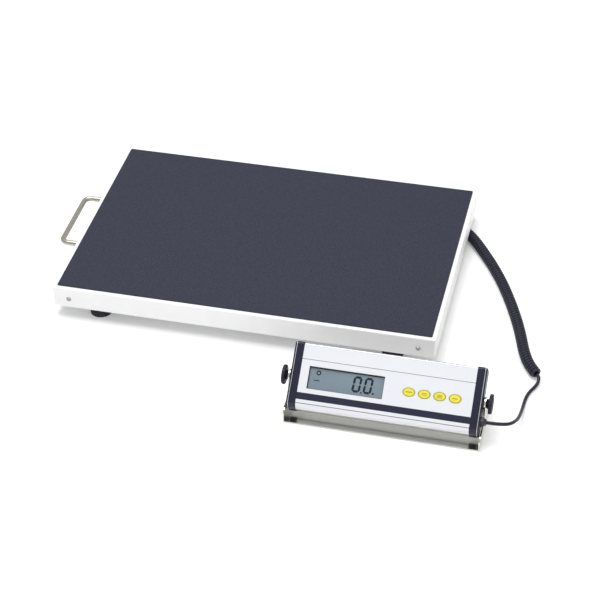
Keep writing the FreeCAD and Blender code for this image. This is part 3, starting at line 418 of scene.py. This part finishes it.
def tube(centre, reference, radius, sides):
    # Rings of radius r across the line's own direction: N is the reference made square to the tangent, B = T x N.
    tangent = unit(np.gradient(centre, axis=0))
    normal = unit(reference - tangent * np.sum(reference * tangent, axis=1, keepdims=True))
    other = np.cross(tangent, normal)
    turn = np.linspace(0, 2 * np.pi, sides, endpoint=False)
    ring = normal[:, None] * np.cos(turn)[None, :, None] + other[:, None] * np.sin(turn)[None, :, None]
    vertices = (centre[:, None] + ring * radius).reshape(-1, 3)
    faces = gridFaces(len(centre), sides).tolist()
    faces.append(list(range(sides)))
    faces.append(list(range(len(vertices) - sides, len(vertices))))
    return vertices, faces


def makeCord(look):
    centre, radial = curlyLine(look)
    centre, radial, places = alongLine(centre, look["spacing"] * mm, radial)
    print("cord points:", len(centre), "length:", round(places[-1], 3))
    vertices, faces = tube(centre, radial, look["diameter"] / 2 * mm, look["sides"])
    piece = finishMesh("curlyCord", vertices, faces, finishes["cord_jacket"], None, 60)
    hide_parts("cord_coil", "cord_platform_end", "cord_indicator_end")
    row(mouthInner).tolist()
    row(look["bendStart"]).tolist()
    row(mouthOuter).tolist()
    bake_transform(piece)


makeCord(cordLook)
print("cord ready")


# Platform

matLook = {"length": 587.0, "width": 387.0, "corner": 2.0, "low": 54.5, "high": 56.0, "edge": 0.5}


def makeMat(look):
    # A slab with a quarter-round upper edge.
    outline, normals = rectangleOutline(look["length"], look["width"], look["corner"])
    top, bend = look["high"], look["edge"]
    levels = [(look["low"], 0, 1)]
    for angle in np.radians([0, 22, 45, 68, 90]):
        levels.append((top - bend + bend * math.sin(angle), -bend + bend * math.cos(angle), 1))
    vertices, faces = stack(outline, normals, levels, row)
    piece = finishMesh("rubberMat", vertices, faces, finishes["mat_rubber"], "platform")
    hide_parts("deck_mat")


makeMat(matLook)
print("platform ready")


# Indicator

sectionLook = {"top": 48.8, "low": -48.5, "front": 13.4, "back": -15.0, "noseStart": -40.5, "noseLevel": -3.0,
               "corner": 3.0}
capLook = {"start": 126.3, "band": 137.5, "end": 140.4}  # along from the middle: the band, the groove, the end face


def headOutline(look):
    # The housing's section, (up, out): two top corners, the back corner, and the nose's arc.
    top, low, front, back, radius = look["top"], look["low"], look["front"], look["back"], look["corner"]
    noseLevel = look["noseLevel"]
    rise, depth = look["noseStart"] - low, front - noseLevel
    bulge = (rise ** 2 + depth ** 2) / (2 * rise)  # the nose's radius, from its chord
    end = 180 - math.degrees(math.asin(depth / bulge))
    return cornerOutline([
        ((top - radius, front - radius), radius, 0, 90, 7),
        ((low + bulge, noseLevel), bulge, end, 180, 14),
        ((low + radius, back + radius), radius, 180, 270, 7),
        ((top - radius, back + radius), radius, 270, 360, 7),
    ])


def capPlace(side):
    # Section (up, out) and distance along, to the frame's metres, on the left for side -1 and the right for 1.
    def place(points):
        up, out, along = np.asarray(points, float).T
        return onHead(np.stack([side * along, up, out], axis=1))
    return place


def makeCap(name, side, look):
    # The band, its rounded edges, a groove and a lower flange with a dished end, as rings of the housing's section;
    # then a pale aluminium ring in the groove as a painted highlight along the cap's edge.
    outline, normals = headOutline(sectionLook)
    start, band, end = look["start"], look["band"], look["end"]
    levels = [(start + 0.02, -2.0, 1), (start + 0.02, 0.55, 1), (start + 0.25, 0.85, 1), (start + 0.6, 1.0, 1),
              (band - 1.2, 1.0, 1), (band - 0.75, 0.9, 1), (band - 0.45, 0.65, 1), (band - 0.35, 0.3, 1),
              (band - 0.3, -1.2, 1), (band + 0.5, -1.2, 1), (band + 0.5, -0.1, 1), (band + 0.7, 0.1, 1),
              (end - 0.9, 0.1, 1), (end - 0.35, -0.2, 1), (end - 0.08, -0.8, 1), (end, -1.6, 1), (end, -5.5, 1),
              (end - 0.25, -5.9, 1), (end - 0.3, -9.0, 1)]
    vertices, faces = stack(outline, normals, levels, capPlace(side))
    piece = finishMesh(name, vertices, faces, finishes["cap_plastic"], "indicator")
    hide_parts("end_cap_left" if side < 0 else "end_cap_right")
    # A pale aluminium ring in the groove between band and flange: a painted highlight standing in for the bright line
    # along the cap's edge.
    edgeHighlight = [(band - 0.35, -1.4, 1), (band - 0.35, 0.2, 1), (band - 0.2, 0.4, 1), (band + 0.3, 0.4, 1),
            (band + 0.5, 0.2, 1), (band + 0.5, -1.4, 1)]
    vertices, faces = stack(outline, normals, edgeHighlight, capPlace(side))
    finishMesh(name + "Seam", vertices, faces, finishes["case_aluminium"], "indicator")


makeCap("leftCap", -1, capLook)
makeCap("rightCap", 1, capLook)


def facePlace(along, up, out):
    # Points counted from a place on the face, to the frame's metres.
    def place(points):
        return onHead(np.asarray(points, float) + np.array([along, up, out]))
    return place


def patch(length, width, along, up, low, high, radius=0.2):
    # A thin slab on the face, its lower left corner at (along, up), between two heights out of the face.
    outline, normals = rectangleOutline(length, width, radius, 3)
    edge = min(0.02, (high - low) / 3)
    levels = [(low, 0, 1), (high - edge, 0, 1), (high, -edge, 1)]
    return stack(outline, normals, levels, facePlace(along + length / 2, up + width / 2, 0))


labelLook = {
    "out": 14.0,  # the label's front and the housing's front, out of the face
    "grooveOut": 13.4,
    "strip": (252.6, 10.0, -126.3, -34.5),  # length, width, lower left corner
    "rule": (252.6, 0.75, -126.3, 24.5),
    # The groove under the label and two lines along the top edge get dark strips of painted shade (length, width, lower
    # left corner).
    "groove": (252.6, 0.8, -126.3, -40.4),
    "upperSeam": (252.6, 0.35, -126.3, 46.0),
    "topSeam": (252.6, 0.35, -126.3, 47.6),
}


def makeLabel(look):
    out, grooveOut, corner = look["out"], look["grooveOut"], 0.05
    vertices, faces = patch(*look["strip"], out - 0.02, out + 0.05, corner)
    finishMesh("labelStrip", vertices, faces, prints["navy"], "indicator")
    vertices, faces = patch(*look["rule"], out - 0.02, out + 0.04, corner)
    finishMesh("labelRule", vertices, faces, prints["greyLine"], "indicator")
    # Dark strips of painted shade in the groove under the label and along two lines at the top edge.
    vertices, faces = joined([patch(*look[name], grooveOut - 0.05, grooveOut + 0.05, corner)
                              for name in ("groove", "upperSeam", "topSeam")])
    finishMesh("grooveShadeStrips", vertices, faces, prints["groove"], "indicator")


makeLabel(labelLook)

displayLook = {
    "out": 10.4,
    "digitHeight": 24.0,
    "digitWidth": 12.6,
    "stroke": 3.4,
    "slant": 0.08,
    "digits": (-42.3, -25.8),  # middles of the two noughts
    "middle": -1.1,
    "gap": 0.12,
    "points": (  # length, width, left, above the digits' foot, corner radius
        (2.2, 2.2, -35.9, -0.2, 0.5),
        (3.0, 2.4, -18.9, 0.6, 0.2),
    ),
    "ring": (7.2, 0.52, -99.8, 7.6),  # diameter, the hole's share of it, middle
    "mark": (8.5, 1.3, -105.5, -4.4),
    # Dark strips along the window's top, left, right and bottom edges (length, width, left, low) and the two heights
    # they lie between: painted shade of the window's recess, widest along the top and left.
    "recessShadeStrips": ((110.8, 2.0, -113.9, 13.6), (1.2, 33.2, -113.9, -17.6), (0.7, 33.2, -3.8, -17.6),
             (110.8, 0.7, -113.9, -17.6)),
    "recessShadeOut": (10.7, 11.3),
}


def bar(start, end, width, low, high, slant, middle):
    # A segment with pointed ends between two points, leaning with the digits.
    start, end = np.array(start, float), np.array(end, float)
    way = unit(end - start)
    side = np.array([-way[1], way[0]]) * width / 2
    tip = way * width / 2
    outline = np.array([start, start + tip + side, end - tip + side, end, end - tip - side, start + tip - side])
    outline[:, 0] += (outline[:, 1] - middle) * slant
    levels = [(low, 0, 1), (high, 0, 1)]
    return stack(outline, np.zeros_like(outline), levels, facePlace(0, 0, 0))


def makeDisplay(look):
    # Two noughts of six bars each, a point and a small square, then a ring, a mark, and dark strips round the window's
    # edges as painted shade of its recess.
    low, high = look["out"] - 0.02, look["out"] + 0.08
    half, wide = (look["digitHeight"] - look["stroke"]) / 2, (look["digitWidth"] - look["stroke"]) / 2
    gap, parts = look["gap"], []
    for along in look["digits"]:
        left, right, middle = along - wide, along + wide, look["middle"]
        bars = [((left + gap, middle + half), (right - gap, middle + half)),
                ((left + gap, middle - half), (right - gap, middle - half))]
        for x in (left, right):
            bars.append(((x, middle + gap), (x, middle + half - gap)))
            bars.append(((x, middle - half + gap), (x, middle - gap)))
        parts += [bar(first, last, look["stroke"], low, high, look["slant"], middle) for first, last in bars]
    base = look["middle"] - look["digitHeight"] / 2
    parts += [patch(length, width, left, base + rise, low, high, radius)
              for length, width, left, rise, radius in look["points"]]
    diameter, hole, along, up = look["ring"]
    outline, normals = ellipseOutline(diameter, diameter, 40)
    parts.append(hoop([(outline, low), (outline * hole, low), (outline * hole, high), (outline, high)],
                      facePlace(along, up, 0)))
    parts.append(patch(*look["mark"], low, high, 0.3))
    vertices, faces = joined(parts)
    finishMesh("displayMarks", vertices, faces, prints["segment"], "indicator")
    # The dark strips round the window are painted shade of its recess.
    vertices, faces = joined([patch(*shadeStrip, *look["recessShadeOut"], 0.1) for shadeStrip in look["recessShadeStrips"]])
    finishMesh("windowRecessShade", vertices, faces, finishes["bezel_plastic"], "indicator")


makeDisplay(displayLook)

keyLook = {
    "length": 18.2,
    "width": 13.1,
    "first": 33.9,  # the first key's middle, and the step to the next
    "pitch": 22.3,
    "up": -1.7,
    "low": 10.0,  # out of the face: the stem's foot, the dome's edge and its top
    "edge": 14.1,
    "high": 14.5,
    "bars": [  # each key's marks: length, width, left, low, from the key's middle
        [(9.0, 1.6, -4.5, -0.8)],
        [(7.0, 1.1, -3.5, 0.5), (7.0, 1.1, -3.5, -1.6)],
        [(7.4, 1.1, -3.7, 1.2), (7.4, 1.1, -3.7, -0.55), (7.4, 1.1, -3.7, -2.3)],
        [(7.5, 1.6, -3.75, -0.8)],
    ],
}


def makeKeys(look):
    # A low dome over an oval: height falls as the fourth power of the distance from the middle. The print is a band
    # round the dome, between four of its rings, and the bars on top.
    outline, normals = ellipseOutline(look["length"] - 0.1, look["width"] - 0.1)
    band, bandNormals = ellipseOutline(look["length"] - 0.4, look["width"] - 0.4)
    edge, top, up = look["edge"], look["high"], look["up"]
    rise = top - edge
    levels = [(look["low"], 0, 1)] + [(edge + rise * (1 - share ** 4), 0, share)
                                      for share in (1.0, 0.985, 0.95, 0.88, 0.78, 0.6, 0.4, 0.2)]
    loops = [(band, edge + rise * 0.02), (band * 0.97, edge + rise * 0.2 + 0.06),
             (band * 0.86, edge + rise * 0.47 + 0.06), (band * 0.84, edge + rise * 0.3)]
    for index, bars in enumerate(look["bars"]):
        number, along = index + 1, look["first"] + look["pitch"] * index
        place = facePlace(along, up, 0)
        vertices, faces = stack(outline, normals, levels, place)
        key = finishMesh(f"keyDome{number}", vertices, faces, finishes["key_film"], f"key_{number}_cap")
        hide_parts(f"key_{number}")
        vertices, faces = joined([hoop(loops, place)] + [
            patch(length, width, along + left, up + low, top - 0.06, top + 0.02, 0.3)
            for length, width, left, low in bars])
        finishMesh(f"keyPrint{number}", vertices, faces, prints["olive"], f"key_{number}_cap")


makeKeys(keyLook)

knobLook = {
    "start": 144.3,  # along from the middle: the hub, the disc's inner face and its outer face
    "disc": 148.3,
    "end": 153.8,
    "radius": 14.7,
    "flutes": 18,
    "depth": 0.55,
}


def makeKnob(name, side, look):
    # Radius = R - d (1 - cos(n t)) / 2 round the rim; the hub and both faces are the same rings made smaller.
    turn = np.linspace(0, 2 * np.pi, look["flutes"] * 10, endpoint=False)
    reach = look["radius"] - look["depth"] * (1 - np.cos(look["flutes"] * turn)) / 2
    outline = np.stack([reach * np.cos(turn), reach * np.sin(turn)], axis=1)
    normals = np.stack([np.cos(turn), np.sin(turn)], axis=1)
    start, disc, end = look["start"], look["disc"], look["end"]
    levels = [(start, 0, 0.42), (start + 0.3, 0, 0.44), (disc - 0.8, 0, 0.50), (disc - 0.1, 0, 0.56),
              (disc, 0, 0.62), (disc, 0, 0.88), (disc + 0.15, 0, 0.93), (disc + 0.5, 0, 0.97),
              (disc + 1.1, 0, 0.995), (disc + 1.8, 0, 1.0), (end - 1.8, 0, 1.0), (end - 1.0, 0, 0.99),
              (end - 0.4, 0, 0.965), (end - 0.08, 0, 0.92), (end, 0, 0.87), (end, 0, 0.72), (end - 0.25, 0, 0.69),
              (end - 0.9, 0, 0.64), (end - 1.0, 0, 0.30), (end - 0.5, 0, 0.26), (end - 0.35, 0, 0.2)]
    vertices, faces = stack(outline, normals, levels, capPlace(side))
    body = "knob_left_turn" if side < 0 else "knob_right_turn"
    piece = finishMesh(name, vertices, faces, finishes["knob_plastic"], body, 50)
    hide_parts("knob_left" if side < 0 else "knob_right")


makeKnob("leftKnob", -1, knobLook)
makeKnob("rightKnob", 1, knobLook)
print("indicator ready")


# Floor and light

lightLook = {
    "above": 0.72,  # the room's light from overhead, and from the sides
    "beside": 0.58,
    "floorGlow": 0.16,
    "floorReach": 12,  # metres each way, a hair below the feet
    "floorLevel": -0.0002,
    "aim": (0, 0, 0.03),
    "softBoxes": [  # place, size and strength: metres and watts
        ((-0.35, 0.25, 2.7), 2.2, 60.0),
        ((1.4, -1.7, 0.8), 1.3, 7.0),
    ],
}


def makeRoom(look):
    # Background strength = beside + (above - beside) * smooth step of the direction's height.
    world = bpy.data.worlds.new("studio")
    bpy.context.scene.world = world
    world.use_nodes = True
    tree = world.node_tree
    place = addNode(tree, "ShaderNodeTexCoord")
    split = addNode(tree, "ShaderNodeSeparateXYZ")
    spread = addNode(tree, "ShaderNodeMapRange", interpolation_type="SMOOTHSTEP")
    spread.inputs["From Min"].default_value = 0.05
    spread.inputs["From Max"].default_value = 0.7
    spread.inputs["To Min"].default_value = look["beside"]
    spread.inputs["To Max"].default_value = look["above"]
    connect(tree, place, "Generated", split, "Vector")
    connect(tree, split, "Z", spread, "Value")
    connect(tree, spread, "Result", tree.nodes["Background"], "Strength")
    tree.nodes["Background"].inputs["Color"].default_value = (1, 1, 1, 1)


def makeStage(look):
    # A floor sheet that glows faintly, and round lamps turned to the aim.
    reach, level = look["floorReach"], look["floorLevel"]
    floor = bpy.data.meshes.new("floor")
    floor.from_pydata([(-reach, -reach, level), (reach, -reach, level), (reach, reach, level),
                       (-reach, reach, level)], [], [(0, 1, 2, 3)])
    paper = surface("paleFloor", (0.9, 0.9, 0.9), 0.85, mottle=0.004, grain=200, grainDepth=0.01, specular=0.1)
    shader = paper.node_tree.nodes["Principled BSDF"]
    shader.inputs["Emission Color"].default_value = (1, 1, 1, 1)
    shader.inputs["Emission Strength"].default_value = look["floorGlow"]
    floor.materials.append(paper)
    piece = bpy.data.objects.new("floor", floor)
    bpy.context.scene.collection.objects.link(piece)
    for index, (place, size, power) in enumerate(look["softBoxes"]):
        light = bpy.data.lights.new(f"softBox{index}", "AREA")
        light.shape = "DISK"
        light.size = size
        light.energy = power
        lamp = bpy.data.objects.new(f"softBox{index}", light)
        back = unit(np.array(place) - look["aim"])
        right = unit(np.cross([0, 1, 0], back))
        matrix = np.eye(4)
        matrix[:3, :3] = np.column_stack([right, np.cross(back, right), back])
        matrix[:3, 3] = place
        lamp.matrix_world = Matrix(matrix.tolist())
        bpy.context.scene.collection.objects.link(lamp)


makeRoom(lightLook)
makeStage(lightLook)
bpy.context.scene.view_settings.view_transform = "Standard"
print("stage ready")
